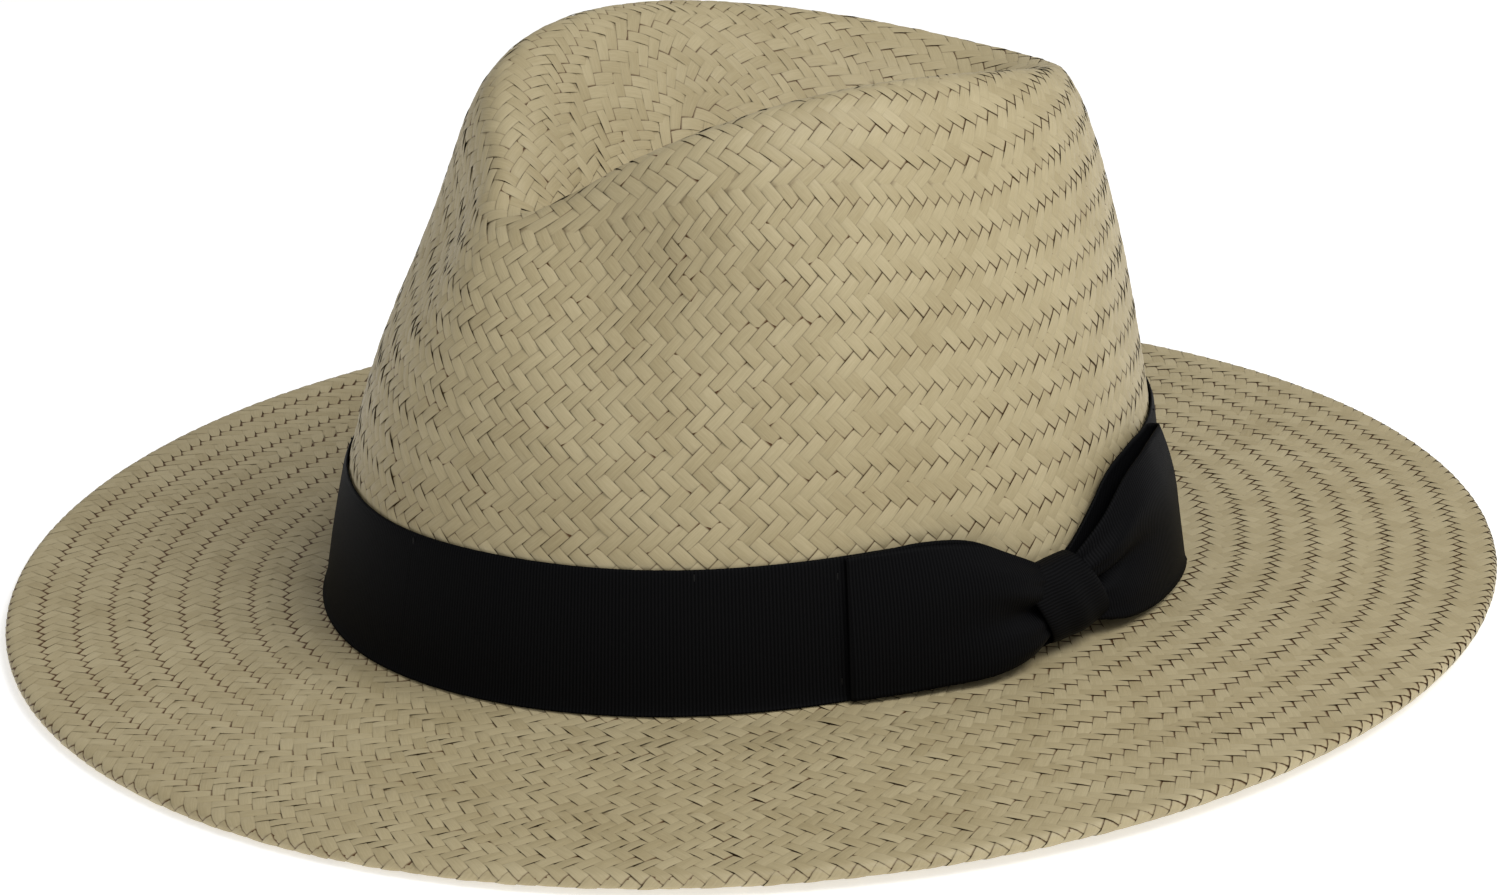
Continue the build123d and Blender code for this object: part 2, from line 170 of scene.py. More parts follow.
def crown_point(angle, along):
    """Outer surface of the crown: along is 0 to 1 up the wall, 1 to 2 down into the crease
    and 2 to 3 across the crease's floor to its middle."""
    angle, along = np.broadcast_arrays(np.asarray(angle, float), np.asarray(along, float))
    a, turn = np.radians(angle), folded(angle)
    narrow = 1 - NOSE_NARROWING * np.exp(-((turn / NARROWING_SPREAD) ** 2))
    ridge_x = RIDGE_B * narrow * np.sin(a)
    ridge_y = CROWN_Y + RIDGE_BACK - RIDGE_A * np.cos(a)
    ridge_z = RIDGE_Z + RIDGE_TILT * np.cos(a) - RIDGE_SADDLE * np.cos(2 * a)
    ridge_z = ridge_z - NOSE_DROP * np.exp(-((turn / NOSE_SPREAD) ** 2))
    foot_x = BASE_B * np.sin(a)
    foot_y = CROWN_Y - BASE_A * np.cos(a)
    up = np.clip(along, 0, 1)
    inward = bezier(up, 0, WALL_START[0] + WALL_START_FRONT * np.cos(a), WALL_SHOULDER, 1)
    rise = bezier(up, 0, WALL_START[1], 1, 1)
    down = np.clip(along - 1, 0, 1)
    across = bezier(down, 0, DENT_LEAD[0], DENT_LEAD[1], 1)
    middle = 1 - np.clip(along - 2, 0, 1)
    floor_x = DENT_FLOOR_B * narrow * np.sin(a)
    floor_y = CROWN_Y + RIDGE_BACK - DENT_FLOOR_A * np.cos(a)
    x = foot_x + (ridge_x - foot_x) * inward + (floor_x - ridge_x) * across
    y = foot_y + (ridge_y - foot_y) * inward + (floor_y - ridge_y) * across
    centre_y = CROWN_Y + RIDGE_BACK
    x = np.where(along > 2, floor_x * middle, x)
    y = np.where(along > 2, centre_y + (floor_y - centre_y) * middle, y)
    z = CROWN_BASE + (ridge_z - CROWN_BASE) * rise
    z = z + (DENT_FLOOR_Z - ridge_z) * bezier(down, 0, 0, 1, 1)
    offset = (np.abs(turn) - PINCH_ANGLE) / PINCH_SPREAD
    pinch = PINCH_DEPTH * np.exp(-(offset**2) - ((z - PINCH_Z) / PINCH_HEIGHT) ** 2)
    spot = np.stack([x, y, z], -1) - outward(angle) * (pinch * np.clip(2 - along, 0, 1))[..., None]
    spot[..., 0] += CROWN_LEAN * (spot[..., 2] - CROWN_BASE) / LEAN_HEIGHT
    return spot


HALVINGS = 24               # steps of the search for a height on the wall


def wall_point(angle, height, stand_off):
    """Point beside the crown's wall at a height, stand_off outside it."""
    angle, height, stand_off = np.broadcast_arrays(
        np.asarray(angle, float), np.asarray(height, float), np.asarray(stand_off, float))
    low, high = np.zeros(angle.shape), np.ones(angle.shape)
    for _ in range(HALVINGS):
        middle = (low + high) / 2
        under = crown_point(angle, middle)[..., 2] < height
        low = np.where(under, middle, low)
        high = np.where(under, high, middle)
    spot = crown_point(angle, low) + outward(angle) * stand_off[..., None]
    spot[..., 2] = height
    return spot


def bend_reach(height):
    """How far the bend into the brim stands outside the wall at this height."""
    share = np.clip((height - BRIM_Z) / (CROWN_BASE - BRIM_Z), 0, 1)
    return BEND * (1 - np.sqrt(share)) ** 2


def brim_frame(angle):
    """Foot of the wall, outer fold, outward direction and rise of the edge at each angle."""
    a = np.radians(angle)
    out = np.stack([np.sin(a), -np.cos(a), 0 * a], -1)
    wall = 1 / np.hypot(np.sin(a) / BASE_B, np.cos(a) / BASE_A)
    square = (np.sin(a) / EDGE_B) ** 2 + (np.cos(a) / EDGE_A) ** 2
    shift = CROWN_Y * np.cos(a) / EDGE_A**2
    edge = (shift + np.sqrt(shift**2 + square * (1 - (CROWN_Y / EDGE_A) ** 2))) / square
    lift = SIDE_LIFT * np.sin(a) ** 2
    return wall, edge - FOLD, out, lift


def brim_polar(angle):
    """Direction angle from the crown's axis to the wall's foot at this crown angle."""
    a = np.radians(angle)
    return np.degrees(np.arctan2(BASE_B * np.sin(a), BASE_A * np.cos(a)))


def brim_points(angle, samples, path):
    """Rows of points over the brim; path(wall, fold, lift) gives (reach, height) rows."""
    wall, fold, out, lift = brim_frame(brim_polar(angle))
    reach, height = path(wall[:, None], fold[:, None], lift[:, None], samples[None, :])
    spot = out[:, None, :] * reach[..., None]
    spot[..., 1] += CROWN_Y
    spot[..., 2] = height
    return spot


BEND_END, FLAT_END, FOLD_END = 0.1, 0.8, 0.9    # shares of the samples over the top of the brim
UNDER_FLAT_END = 0.88                           # and on its underside
HEM_CLEAR = 0.4             # gap between the fold and where the underside starts


def top_path(wall, fold, lift, s):
    """From the head line over the bend and the flat brim, round the fold, to the hem's inner edge."""
    top = lift + HEM_HEIGHT
    slope = (top - BRIM_Z) / (fold - wall)
    bend = np.clip(s / BEND_END, 0, 1)
    flat = np.clip((s - BEND_END) / (FLAT_END - BEND_END), 0, 1)
    turn = np.clip((s - FLAT_END) / (FOLD_END - FLAT_END), 0, 1) * np.pi
    back = np.clip((s - FOLD_END) / (1 - FOLD_END), 0, 1)
    bend_x = wall + BEND * bend**2
    bend_z = (1 - bend) ** 2 * CROWN_BASE + 2 * bend * (1 - bend) * BRIM_Z
    bend_z = bend_z + bend**2 * (BRIM_Z + slope * BEND)
    flat_x = wall + BEND + (fold - wall - BEND) * flat
    reach = np.where(s < BEND_END, bend_x, flat_x)
    height = np.where(s < BEND_END, bend_z, BRIM_Z + slope * (flat_x - wall))
    reach = reach + FOLD * np.sin(turn) - (HEM_WIDTH - FOLD) * back
    height = height - FOLD * (1 - np.cos(turn))
    return reach, height


def under_path(wall, fold, lift, s):
    """Underside of the brim, from inside the fold back to the head line."""
    top = lift + HEM_HEIGHT
    slope = (top - BRIM_Z) / (fold - wall)
    flat = np.clip(s / UNDER_FLAT_END, 0, 1)
    bend = np.clip((s - UNDER_FLAT_END) / (1 - UNDER_FLAT_END), 0, 1)
    start = fold - HEM_CLEAR
    flat_x = start + (wall + BEND - start) * flat
    r = 1 - bend
    bend_x = r**2 * (wall + BEND) + 2 * r * bend * (wall - MAT) + bend**2 * (wall - MAT)
    bend_z = r**2 * (BRIM_Z + slope * BEND - MAT) + 2 * r * bend * (BRIM_Z - MAT) + bend**2 * CROWN_BASE
    reach = np.where(s < UNDER_FLAT_END, flat_x, bend_x)
    height = np.where(s < UNDER_FLAT_END, BRIM_Z + slope * (flat_x - wall) - MAT, bend_z)
    return reach, height


# ---------------------------------------------------------------- surfaces that straw is laid on
TIP_GIRTH = 1e-3            # a ring smaller than this is a single point
WALL_STEPS, CREASE_STEPS, CREASE_FLOOR_STEPS = 260, 160, 60
BRIM_STEPS = 1200


class Surface:
    """A closed band of the hat, sampled evenly along its length and round each ring."""

    LEVELS = 900

    def __init__(self, rows, flip=False):
        """rows[turn, step] are points along the band's length, for each turn round the hat."""
        steps = np.linalg.norm(np.diff(rows, axis=1), axis=-1)
        length = np.concatenate([np.zeros((len(rows), 1)), np.cumsum(steps, axis=1)], axis=1)
        self.mean_length = length[:, -1].mean()
        share = np.linspace(0, 1, self.LEVELS)
        even = np.empty((len(rows), self.LEVELS, 3))
        for n in range(len(rows)):
            spread = length[n] / length[n, -1]
            for axis in range(3):
                even[n, :, axis] = np.interp(share, spread, rows[n, :, axis])
        even = self.evenly_round(even)
        self.points = even
        round_way = np.roll(even, -1, axis=0) - np.roll(even, 1, axis=0)
        along_way = np.gradient(even, axis=1)
        normal = np.cross(round_way, along_way)
        normal = unit(normal) * (-1 if flip else 1)
        if self.closes_to_a_tip():
            normal[:, -1] = normal[:, -3].mean(axis=0)
        self.normals = unit(normal)

    @staticmethod
    def evenly_round(points):
        """Samples each ring anew, with twice as many points, all equally far apart."""
        closed = np.concatenate([points, points[:1]])
        spread = np.cumsum(np.linalg.norm(np.diff(closed, axis=0), axis=-1), axis=0)
        spread = np.concatenate([np.zeros((1, spread.shape[1])), spread])
        share = np.linspace(0, 1, len(points) * 2, endpoint=False)
        moved = np.empty((len(share),) + points.shape[1:])
        for level in range(points.shape[1]):
            total = spread[-1, level]
            if total < TIP_GIRTH:
                moved[:, level] = points[0, level]
                continue
            for axis in range(3):
                moved[:, level, axis] = np.interp(share, spread[:, level] / total, closed[:, level, axis])
        return moved

    def closes_to_a_tip(self):
        return np.ptp(self.points[:, -1], axis=0).max() < TIP_GIRTH

    def girth(self, share):
        """Length of the ring at this share of the way along."""
        ring = self.points[:, int(round(share * (self.LEVELS - 1)))]
        return np.linalg.norm(ring - np.roll(ring, 1, axis=0), axis=-1).sum()

    def at(self, angle, share, lift):
        """Points at a turn of 0 to 360 round the girth and a share of the length, lift off it."""
        count = len(self.points)
        a = (np.asarray(angle) % FULL_TURN) / FULL_TURN * count
        s = np.clip(share, 0, 1) * (self.LEVELS - 1)
        a0 = np.floor(a).astype(int) % count
        s0 = np.minimum(np.floor(s).astype(int), self.LEVELS - 2)
        fa, fs = (a - np.floor(a))[..., None], (s - s0)[..., None]
        a1 = (a0 + 1) % count

        def mix(table):
            low = table[a0, s0] * (1 - fa) + table[a1, s0] * fa
            high = table[a0, s0 + 1] * (1 - fa) + table[a1, s0 + 1] * fa
            return low * (1 - fs) + high * fs

        return mix(self.points) + unit(mix(self.normals)) * np.asarray(lift)[..., None]


def crown_surface(depth):
    """Outer face of the crown, or its inner face at a depth below it."""
    wall, crease = np.linspace(0, 1, WALL_STEPS), np.linspace(1, 2, CREASE_STEPS)[1:]
    crease_floor = np.linspace(2, 3, CREASE_FLOOR_STEPS)[1:]
    along = np.concatenate([wall, crease, crease_floor])
    outer = Surface(crown_point(DEGREES[:, None], along[None, :]))
    if depth == 0:
        return outer
    return Surface(outer.points - outer.normals * depth, flip=True)


def brim_surface(path):
    """Top or underside of the brim, along the path given."""
    return Surface(brim_points(DEGREES, np.linspace(0, 1, BRIM_STEPS), path), flip=True)


# ---------------------------------------------------------------- materials
def new_material(name):
    material = bpy.data.materials.new(name)
    material.use_nodes = True
    nodes = material.node_tree.nodes
    return material, nodes, material.node_tree.links, nodes["Principled BSDF"]


def add_node(nodes, kind, **settings):
    node = nodes.new(kind)
    for key, value in settings.items():
        if key in node.inputs:
            node.inputs[key].default_value = value
        else:
            setattr(node, key, value)
    return node


def math_node(nodes, links, operation, first, second):
    node = nodes.new("ShaderNodeMath")
    node.operation = operation
    for socket, value in zip(node.inputs, (first, second)):
        if isinstance(value, (int, float)):
            socket.default_value = value
        else:
            links.new(value, socket)
    return node.outputs[0]


def mix_color(nodes, links, blend, factor, first, second):
    node = nodes.new("ShaderNodeMix")
    node.data_type = "RGBA"
    node.blend_type = blend
    for socket, value in ((node.inputs[0], factor), (node.inputs[6], first), (node.inputs[7], second)):
        if isinstance(value, (int, float, tuple)):
            socket.default_value = value
        else:
            links.new(value, socket)
    return node.outputs[2]


# painted shade: colour of the slits between the strips, laid on the strip ends that dip under
SLIT_SHADE = (0.085, 0.036, 0.008, 1)
TONE_RANGE = 0.22           # how far the strips differ in lightness
RIB_PITCH = 0.78            # distance between the ribs of the grosgrain


def straw_material(name, pale, dark):
    """Flat paper straw: long fibres along each strip, its own tone and creases, with painted shade along the
    strips' edges and on the ends that dip under their neighbours.
    """
    material, nodes, links, shader = new_material(name)
    strand = add_node(nodes, "ShaderNodeAttribute", attribute_name="strand")
    split = nodes.new("ShaderNodeSeparateXYZ")
    links.new(strand.outputs["Vector"], split.inputs[0])
    along, across, tone = split.outputs

    stretch = nodes.new("ShaderNodeCombineXYZ")
    links.new(math_node(nodes, links, "MULTIPLY", along, 0.22), stretch.inputs[0])
    links.new(math_node(nodes, links, "MULTIPLY", across, 11.0), stretch.inputs[1])
    links.new(math_node(nodes, links, "MULTIPLY", tone, 37.0), stretch.inputs[2])
    fibre = add_node(nodes, "ShaderNodeTexNoise", Scale=1.0, Detail=4.0, Roughness=0.6)
    links.new(stretch.outputs[0], fibre.inputs["Vector"])

    place_of = nodes.new("ShaderNodeTexCoord")
    blotch = add_node(nodes, "ShaderNodeTexNoise", Scale=55.0, Detail=3.0, Roughness=0.55)
    links.new(place_of.outputs["Object"], blotch.inputs["Vector"])
    crinkle = add_node(nodes, "ShaderNodeTexNoise", Scale=620.0, Detail=3.0, Roughness=0.6)
    links.new(place_of.outputs["Object"], crinkle.inputs["Vector"])

    shade = math_node(nodes, links, "MULTIPLY", fibre.outputs[0], 0.45)
    shade = math_node(nodes, links, "ADD", shade, math_node(nodes, links, "MULTIPLY", tone, TONE_RANGE))
    shade = math_node(nodes, links, "ADD", shade,
                      math_node(nodes, links, "MULTIPLY", blotch.outputs[0], 0.35))
    ramp = nodes.new("ShaderNodeValToRGB")
    ramp.color_ramp.elements[0].position = 0.25
    ramp.color_ramp.elements[0].color = dark
    ramp.color_ramp.elements[1].position = 0.75
    ramp.color_ramp.elements[1].color = pale
    links.new(shade, ramp.inputs[0])

    # painted shade: a thin dark line along each strip's edges, where it meets its neighbour
    edge = math_node(nodes, links, "ABSOLUTE", across, 0.0)
    edge = math_node(nodes, links, "POWER", math_node(nodes, links, "MULTIPLY", edge, 2.0), 22.0)
    edge = math_node(nodes, links, "MULTIPLY", edge, math_node(nodes, links, "ADD", tone, 0.15))
    painted_shade = mix_color(nodes, links, "MIX", edge, ramp.outputs[0], tuple(0.3 * c for c in dark[:3]) + (1,))
    # painted shade on the strip ends that dip under the crossing strips, seen through the slits
    dip_shade = add_node(nodes, "ShaderNodeAttribute", attribute_name="dip_shade")
    depth = math_node(nodes, links, "MULTIPLY", dip_shade.outputs["Fac"], 4.0)
    depth = math_node(nodes, links, "MINIMUM", depth, 1.0)
    shadowed = mix_color(nodes, links, "MIX", depth, painted_shade, SLIT_SHADE)
    links.new(shadowed, shader.inputs["Base Color"])

    gloss = math_node(nodes, links, "MULTIPLY", crinkle.outputs[0], 0.22)
    links.new(math_node(nodes, links, "ADD", gloss, 0.42), shader.inputs["Roughness"])
    shader.inputs["Specular IOR Level"].default_value = 0.32
    relief = math_node(nodes, links, "ADD", math_node(nodes, links, "MULTIPLY", fibre.outputs[0], 0.5),
                       math_node(nodes, links, "MULTIPLY", crinkle.outputs[0], 0.8))
    bump = add_node(nodes, "ShaderNodeBump", Strength=0.45, Distance=0.00014)
    links.new(relief, bump.inputs["Height"])
    links.new(bump.outputs[0], shader.inputs["Normal"])
    return material


def shade_backing_material():
    """Painted shade: dark brown for the shadowed straw seen through the slits between the strips."""
    material, nodes, links, shader = new_material("straw_shade_backing")
    place_of = nodes.new("ShaderNodeTexCoord")
    noise = add_node(nodes, "ShaderNodeTexNoise", Scale=400.0, Detail=3.0)
    links.new(place_of.outputs["Object"], noise.inputs["Vector"])
    ramp = nodes.new("ShaderNodeValToRGB")
    ramp.color_ramp.elements[0].color = (0.070, 0.034, 0.009, 1)
    ramp.color_ramp.elements[1].color = (0.135, 0.074, 0.024, 1)
    links.new(noise.outputs[0], ramp.inputs[0])
    links.new(ramp.outputs[0], shader.inputs["Base Color"])
    shader.inputs["Roughness"].default_value = 0.8
    return material


def cloth_material(name, pale, dark, scale, roughness, relief, sheen=0.0):
    """Woven cloth: fine threads with uneven tone and a little fuzz."""
    material, nodes, links, shader = new_material(name)
    place_of = nodes.new("ShaderNodeTexCoord")
    threads = add_node(nodes, "ShaderNodeTexNoise", Scale=scale, Detail=4.0, Roughness=0.7)
    links.new(place_of.outputs["Object"], threads.inputs["Vector"])
    patch = add_node(nodes, "ShaderNodeTexNoise", Scale=scale / 40, Detail=2.0)
    links.new(place_of.outputs["Object"], patch.inputs["Vector"])
    shade = math_node(nodes, links, "MULTIPLY", threads.outputs[0], 0.6)
    shade = math_node(nodes, links, "ADD", shade, math_node(nodes, links, "MULTIPLY", patch.outputs[0], 0.4))
    ramp = nodes.new("ShaderNodeValToRGB")
    ramp.color_ramp.elements[0].position = 0.35
    ramp.color_ramp.elements[0].color = dark
    ramp.color_ramp.elements[1].position = 0.68
    ramp.color_ramp.elements[1].color = pale
    links.new(shade, ramp.inputs[0])
    links.new(ramp.outputs[0], shader.inputs["Base Color"])
    shader.inputs["Roughness"].default_value = roughness
    shader.inputs["Sheen Weight"].default_value = sheen
    shader.inputs["Sheen Roughness"].default_value = 0.5
    shader.inputs["Specular IOR Level"].default_value = 0.25
    bump = add_node(nodes, "ShaderNodeBump", Strength=0.5, Distance=relief)
    links.new(threads.outputs[0], bump.inputs["Height"])
    links.new(bump.outputs[0], shader.inputs["Normal"])
    return material


def grosgrain_material():
    """Black ribbon with fine ribs across its length; painted highlight on the ribs' crests and painted shade
    in the grooves between them.
    """
    material, nodes, links, shader = new_material("ribbon")
    strand = add_node(nodes, "ShaderNodeAttribute", attribute_name="strand")
    split = nodes.new("ShaderNodeSeparateXYZ")
    links.new(strand.outputs["Vector"], split.inputs[0])
    phase = math_node(nodes, links, "MULTIPLY", split.outputs[0], 2 * np.pi / RIB_PITCH)
    crest = math_node(nodes, links, "MULTIPLY", math_node(nodes, links, "SINE", phase, 0.0), 0.5)
    crest = math_node(nodes, links, "ADD", crest, 0.5)
    place_of = nodes.new("ShaderNodeTexCoord")
    threads = add_node(nodes, "ShaderNodeTexNoise", Scale=2600.0, Detail=3.0, Roughness=0.7)
    links.new(place_of.outputs["Object"], threads.inputs["Vector"])
    shade = math_node(nodes, links, "MULTIPLY", crest, 0.75)
    shade = math_node(nodes, links, "ADD", shade,
                      math_node(nodes, links, "MULTIPLY", threads.outputs[0], 0.3))
    # painted shade in the grooves, painted highlight on the crests of the ribs
    groove_shade, rib_highlight = (0.0012, 0.0012, 0.0015, 1), (0.0066, 0.0067, 0.0074, 1)
    color = mix_color(nodes, links, "MIX", shade, groove_shade, rib_highlight)
    links.new(color, shader.inputs["Base Color"])
    shader.inputs["Roughness"].default_value = 0.55
    shader.inputs["Specular IOR Level"].default_value = 0.03
    relief = math_node(nodes, links, "ADD", crest,
                       math_node(nodes, links, "MULTIPLY", threads.outputs[0], 0.4))
    bump = add_node(nodes, "ShaderNodeBump", Strength=0.6, Distance=0.0001)
    links.new(relief, bump.inputs["Height"])
    links.new(bump.outputs[0], shader.inputs["Normal"])
    return material


straw = straw_material("straw", (0.535, 0.455, 0.278, 1), (0.36, 0.29, 0.156, 1))
straw_inside = straw_material("straw_inside", (0.52, 0.44, 0.275, 1), (0.35, 0.28, 0.155, 1))
shade_backing = shade_backing_material()
ribbon = grosgrain_material()
ribbon_thread = cloth_material("ribbon_thread", (0.006, 0.006, 0.007, 1), (0.003, 0.003, 0.003, 1),
                               5000.0, 0.6, 0.00003)
straw_thread = cloth_material("straw_thread", (0.60, 0.53, 0.39, 1), (0.42, 0.35, 0.23, 1),
                              5000.0, 0.55, 0.00003)
sweat_cloth = cloth_material("sweat_cloth", (0.60, 0.53, 0.41, 1), (0.45, 0.38, 0.28, 1),
                             3000.0, 0.8, 0.00008, sheen=0.1)
label_cloth = cloth_material("label_cloth", (0.82, 0.82, 0.80, 1), (0.68, 0.68, 0.66, 1),
                             4000.0, 0.45, 0.00004, sheen=0.05)


# ---------------------------------------------------------------- woven straw
CROWN_WEAVE = (4.3, 1.95)   # distance round the hat between strips, height of a row
BRIM_WEAVE = (3.7, 2.12)
START_EASE = 1.05           # the first zone's strips are a little further apart
PITCH_EASE = 0.2            # how far the pitch may stretch before strips are added
FEWEST_STRIPS = 6
TIGHT, LOOSE = 0.012, 0.13  # gather of the tightest and the loosest straw
BRIM_TIGHTEST, BRIM_TIGHT_REACH, BRIM_EASE = 38, 14, 50         # in degrees round the hat
CROWN_TIGHTEST, CROWN_TIGHT_REACH, CROWN_EASE = 15, 31, 44
TAPER = 0.33                # how much the loosest strips narrow towards the wider slits
LAP = 0.05                  # how much the loosest strips lap over their neighbours
WIDTH_PLAY, THINNER = 0.02, 0.045           # play of a strip's width, and what the thin ones lose
THIN_ONES = 0.1                             # share of the tight strips that are thin
SLIP_PLAY, TWIST_PLAY = 0.10, 0.27          # play of its place lengthwise, and of its tilt
TIGHT_SWELL, LOOSE_SWELL = 0.75, 0.50       # play of its rise, in tight and in loose straw
LOOSE_TWIST, LOOSE_DROP, LOOSE_RISE = 0.25, 0.3, 0.5    # what is left of these in the loosest straw
UNDERLAY = 0.26             # how far a zone's outermost strips lie under the next zone's
UNDERLAY_SHADE = 0.07       # and how much painted shade they get
END_PALE = 0.85             # how much of the painted end shade a zone's outermost ends lose
EDGE_PALE = 0.12            # how far the painted edge shade is moved off the edges of loose strips
SHADE_BACKING_INSET = 0.22           # depth of the dark sheet of painted shade under the straw's surface
STRAND_STEP = 17.3          # shift of the fibre pattern from strip to strip


class StripShape:
    """One visible length of strip: along and across it in strip widths, heights in millimetres."""

    ALONG = np.array([-1.5, -0.95, -0.5, 0.0, 0.5, 0.95, 1.5])
    RISE = np.array([-0.20, 0.14, 0.27, 0.31, 0.27, 0.14, -0.20])
    # where painted shade falls: the ends that dip under the crossing strips
    DIP_SHADE = np.array([1.0, 0.0, 0.0, 0.0, 0.0, 0.0, 1.0])
    ACROSS = np.array([-0.5, -0.44, 0.0, 0.44, 0.5])
    DROP = np.array([-0.09, -0.035, 0.0, -0.035, -0.09])

    def __init__(self, rows, columns):
        self.along, self.rise, self.dip_shade = self.ALONG[rows], self.RISE[rows], self.DIP_SHADE[rows]
        self.across, self.drop = self.ACROSS[columns], self.DROP[columns]


FINE = StripShape(slice(None), slice(None))
COARSE = StripShape([0, 1, 3, 5, 6], [0, 2, 4])


def brim_gather(angle):
    """Rows drawn together in pairs, which opens every second gap by this share of a row;
    tight in front of the bow, loosest on the wearer's right."""
    turn = folded(angle - BRIM_TIGHTEST)
    side = 0.675 - 0.125 * np.tanh(np.sin(np.radians(turn)) * 6)
    share = 0.2 + side * smooth_step((np.abs(turn) - BRIM_TIGHT_REACH) / BRIM_EASE)
    return TIGHT + (LOOSE - TIGHT) * share


def crown_gather(angle):
    """The straw is tight at the front and looser towards the back."""
    turn = np.abs(folded(angle - CROWN_TIGHTEST))
    return TIGHT + 0.45 * (LOOSE - TIGHT) * smooth_step((turn - CROWN_TIGHT_REACH) / CROWN_EASE)


def weave_zones(surface, rows, pitch):
    """Splits the rows into zones of whole repeats: (first row, end row, number of strips)."""
    zones = []
    start, count = 0, max(FEWEST_STRIPS, round(surface.girth(0) / pitch / START_EASE))
    for row in range(0, rows, 4):
        spread = surface.girth((row + 2) / rows) / count
        if abs(spread / pitch - 1) > PITCH_EASE:
            if row > start:
                zones.append((start, row, count))
            ahead = surface.girth(min(1.0, (row + 6) / rows))
            count = max(FEWEST_STRIPS, round(ahead / pitch))
            start = row
    zones.append((start, rows, count))
    return zones


def strip_play(column, row, strip, way, zone_seed, seed, loose):
    """What makes each strip of a row differ: its width, slip, twist, swell and tone."""
    play = hash01(column, row, seed + 1)
    thin = hash01(strip, way + 9, zone_seed) > 1 - THIN_ONES
    width = 1.0 + LAP * loose - WIDTH_PLAY * play - THINNER * (1 - loose) * thin
    slip = (hash01(column, row, seed + 2) - 0.5) * SLIP_PLAY
    twist = (hash01(column, row, seed + 3) - 0.5) * TWIST_PLAY * (1 - (1 - LOOSE_TWIST) * loose)
    swell = TIGHT_SWELL + (LOOSE_SWELL - TIGHT_SWELL) * loose
    swell = 1 + (hash01(column, row, seed + 4) - 0.5) * swell
    tone = 0.75 * hash01(strip, way + 3, zone_seed) + 0.25 * play
    return (values[:, None, None] for values in (width, slip, twist, swell, tone))


def weave(name, surface, size, shares, seed, material, gather, shape=FINE):
    """Herringbone of flat strips: two rows of strips one way, then two rows the other way.
    size is the strips' pitch and the rows' height, shares the part of the surface to cover.
    Points are laid out by a along each strip and b across it, then by u round the hat and
    v along the surface, counted in strips and rows."""
    pitch, row_height = size
    strip_side = np.hypot(pitch / 2, row_height)
    rows = 4 * max(1, round(surface.mean_length / row_height / 4))
    across = shape.across[None, None, :]
    points, strands, dip_shades = [], [], []
    for zone, (start, end, count) in enumerate(weave_zones(surface, rows, pitch)):
        column = np.arange(count)
        draw = gather(column / count * FULL_TURN)
        looseness = np.clip((draw - TIGHT) / (LOOSE - TIGHT), 0, 1)
        loose = looseness[:, None, None]
        # two more rows at each end are sunk under the next zone, so that no hole opens between
        for row in range(start - 2 * (start > 0), end + 2 * (end < rows), 2):
            if not shares[0] <= row / rows < shares[1]:
                continue
            under = not start <= row < end
            first = row == start and start > 0
            last = row == end - 2 and end < rows
            way = 1 if row % 4 == 0 else -1
            strip = (column - way * row // 2) % count
            width, slip, twist, swell, tone = strip_play(
                column, row, strip, way, zone + seed, seed, looseness)

            a = shape.along[None, :, None] + slip
            b = across * (width - TAPER * loose**2 * np.clip(a * way, 0, 1.2) ** 1.5)
            u = column[:, None, None] + way * 0.25 + 0.5 * way * (a + b)
            v = row + 1.5 + a - b - draw[:, None, None] * way
            lift = shape.rise[None, :, None] * swell + twist * across * 2
            lift = lift + shape.drop[None, None, :] * (1 - (1 - LOOSE_DROP) * loose)
            lift = lift * (1 - (1 - LOOSE_RISE) * loose) - UNDERLAY * under
            points.append(surface.at(u / count * FULL_TURN, v / rows, lift))

            # painted shade on the ends that dip under, and on the rows sunk under the next zone
            outermost = first * (shape.along < 0) + last * (shape.along > 0)
            painted_shade = np.maximum(shape.dip_shade * (1 - END_PALE * outermost), UNDERLAY_SHADE * under)
            dip_shades.append(np.broadcast_to(painted_shade[None, :, None], b.shape))
            hidden_edge = EDGE_PALE * loose * (1 - np.clip(1.5 * a * way, 0, 1))
            strands.append(np.stack([
                np.broadcast_to((a + row) * strip_side + strip[:, None, None] * STRAND_STEP, b.shape),
                across * (1 - hidden_edge),
                np.broadcast_to(tone, b.shape),
            ], -1))
    points, strands = np.concatenate(points), np.concatenate(strands)
    cell = len(shape.along) * len(shape.across)
    quads = grid_faces(len(shape.along), len(shape.across))
    faces = (quads[None] + (np.arange(len(points)) * cell)[:, None, None]).reshape(-1, 4)
    obj = to_mesh(name, points, faces, material, strand=strands.reshape(-1, 3))
    dip_shade = obj.data.attributes.new("dip_shade", "FLOAT", "POINT")
    dip_shade.data.foreach_set("value", np.concatenate(dip_shades).astype(np.float32).ravel())
    return obj


def under_straw(surface, steps):
    """Grid of points just under a surface: every second degree round it and even steps along it."""
    angle, share = np.meshgrid(DEGREES[::2], np.linspace(0, 1, steps), indexing="ij")
    return surface.at(angle, share, np.full(angle.shape, -SHADE_BACKING_INSET))


crown_out = crown_surface(0)
crown_in = crown_surface(MAT)
brim_top = brim_surface(top_path)
brim_under = brim_surface(under_path)

RIDGE_SHARE = 0.60          # share of the crown's rows below the ridge
HALF_BRIM = 0.42            # share of the brim's rows on its inner half

crown_wall = weave("crown_wall_straw", crown_out, CROWN_WEAVE, (0.0, RIDGE_SHARE), 1, straw, crown_gather)
crown_top = weave("crown_top_straw", crown_out, CROWN_WEAVE, (RIDGE_SHARE, 1.0), 1, straw, crown_gather)
crown_lining = weave("crown_inner_straw", crown_in, CROWN_WEAVE, (0.0, 1.0), 5, straw_inside, crown_gather,
                     COARSE)
crown_layers = under_straw(crown_out, 180), under_straw(crown_in, 180)[:, ::-1]
# painted shade: a dark shell under the crown's straw, seen through its slits
crown_shade_backing = closed_ring("crown_shade_backing", np.concatenate(crown_layers, axis=1), shade_backing)
for obj in (crown_wall, crown_top, crown_lining, crown_shade_backing):
    place(obj, "straw", "crown")

